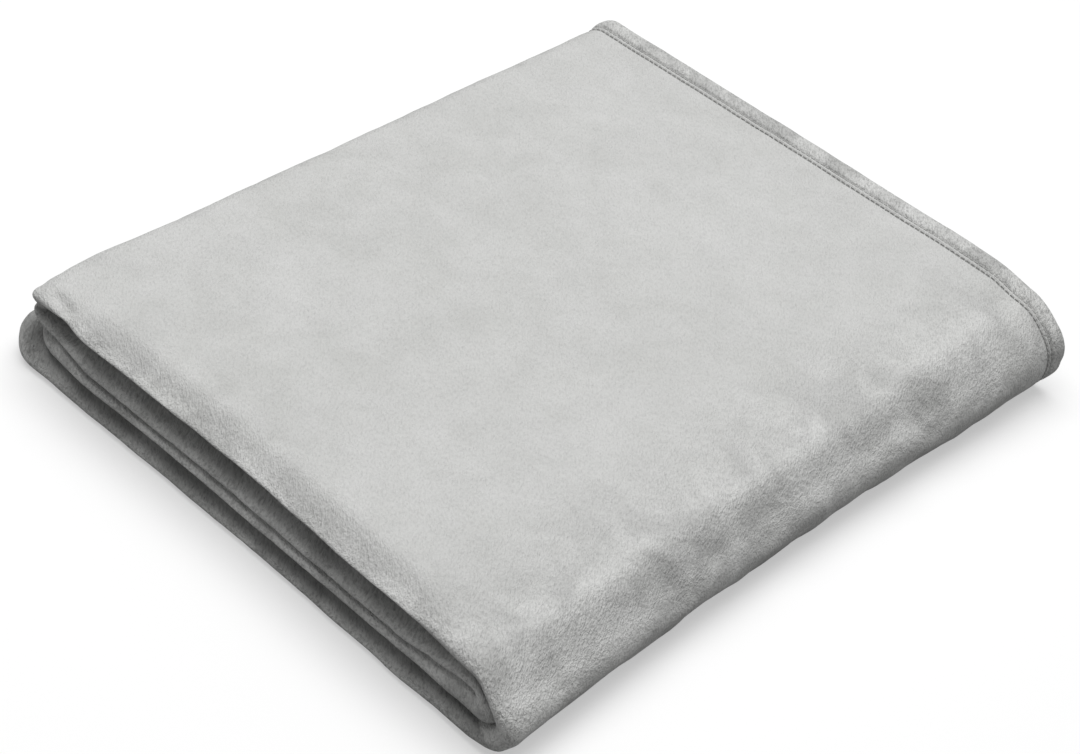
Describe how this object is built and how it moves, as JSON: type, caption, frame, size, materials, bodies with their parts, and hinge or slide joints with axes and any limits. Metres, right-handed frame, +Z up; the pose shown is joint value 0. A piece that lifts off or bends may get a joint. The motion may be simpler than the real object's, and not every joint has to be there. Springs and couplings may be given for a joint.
{
  "type": "folded throw blanket",
  "caption": "Plush throw blanket folded into a flat rectangular pack, with double-stitched turned hems, rolled front folds and an upper half that opens like a book.",
  "frame": {"origin": "centre of the pack's bounding box, on the surface that it rests on", "axes": "+X from the back fold to the outer fold, +Y from the rolled front face to the hem side, +Z up"},
  "size_m": [0.404, 0.49, 0.0636],
  "materials": {
    "plush": "short dense brushed plush pile, light neutral grey, soft sheen",
    "hem": "the same plush turned under and pulled tight along the seam",
    "thread": "matt spun polyester thread, darker grey, sunk in the pile"
  },
  "bodies": {
    "lower_half": {"bottom_leaf": "plush", "third_leaf": "plush", "outer_fold": "plush", "inner_fold": "plush", "bottom_leaf_face_hem": "hem", "third_leaf_face_hem": "hem", "outer_fold_face_hem": "hem", "inner_fold_face_hem": "hem", "bottom_leaf_inner_hem": "hem", "third_leaf_inner_hem": "hem", "outer_fold_inner_hem": "hem", "inner_fold_inner_hem": "hem", "bottom_leaf_end_hem": "hem", "third_leaf_end_hem": "hem", "bottom_leaf_stitches": "thread", "third_leaf_stitches": "thread", "outer_fold_stitches": "thread", "inner_fold_stitches": "thread"},
    "upper_half": {"top_leaf": "plush", "second_leaf": "plush", "back_fold": "plush", "top_leaf_face_hem": "hem", "second_leaf_face_hem": "hem", "back_fold_face_hem": "hem", "top_leaf_inner_hem": "hem", "second_leaf_inner_hem": "hem", "back_fold_inner_hem": "hem", "top_leaf_stitches": "thread", "second_leaf_stitches": "thread", "back_fold_stitches": "thread"}
  },
  "joints": [
    {"name": "book_opening", "type": "hinge", "parent": "lower_half", "child": "upper_half", "pos_m": [0.17017, 0, 0.03182], "axis": [0, 1, 0], "range_deg": [0, 180], "deforming": ["outer_fold", "inner_fold", "outer_fold_face_hem", "inner_fold_face_hem", "outer_fold_inner_hem", "inner_fold_inner_hem", "outer_fold_stitches", "inner_fold_stitches"]}
  ]
}
